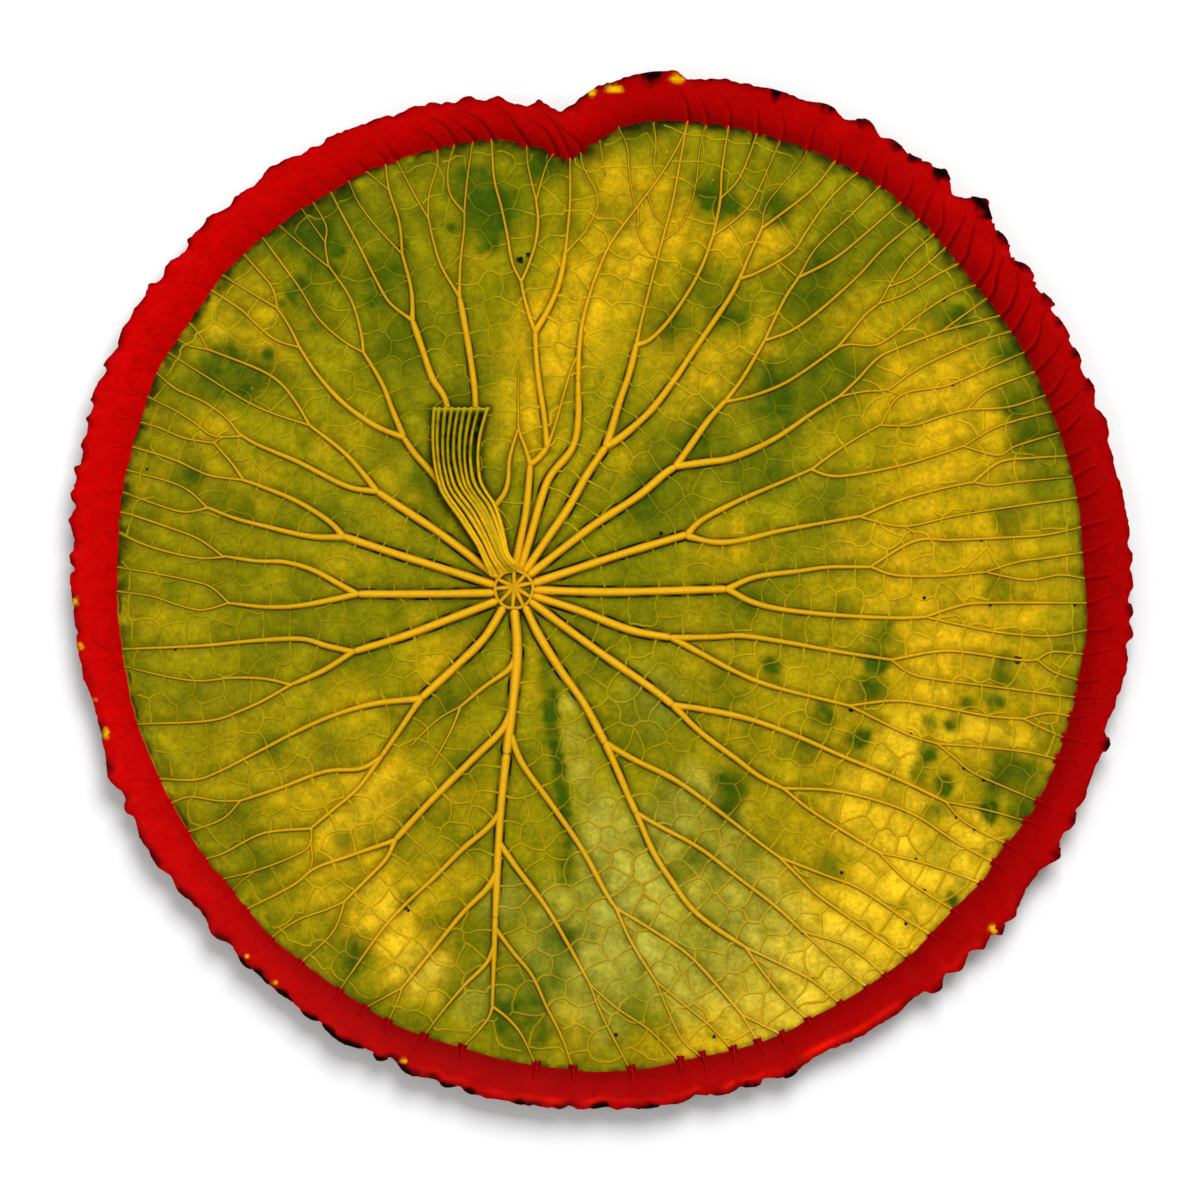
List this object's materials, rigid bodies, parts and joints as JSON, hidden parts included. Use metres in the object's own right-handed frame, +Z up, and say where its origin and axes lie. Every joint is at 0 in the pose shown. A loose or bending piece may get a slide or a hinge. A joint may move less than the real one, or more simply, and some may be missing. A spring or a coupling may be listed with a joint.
{
  "type": "water lily pad",
  "caption": "Round veined lily pad lying underside up: shallow dish, raised forking veins, toothed red rim with a small notch, and a flattened cut stalk stub at the hub.",
  "frame": {"origin": "the hub where the stalk joins the blade, on the flat middle of the side that lies down", "axes": "+Z up, out of the veined side; +Y toward the notch in the margin; +X to the right as seen from above"},
  "size_m": [0.2658, 0.259, 0.0098],
  "materials": {
    "leaf_blade": "satin",
    "leaf_stalk": "satin"
  },
  "bodies": {
    "root": {"pad": "leaf_blade", "stalk": "leaf_stalk"}
  },
  "joints": []
}
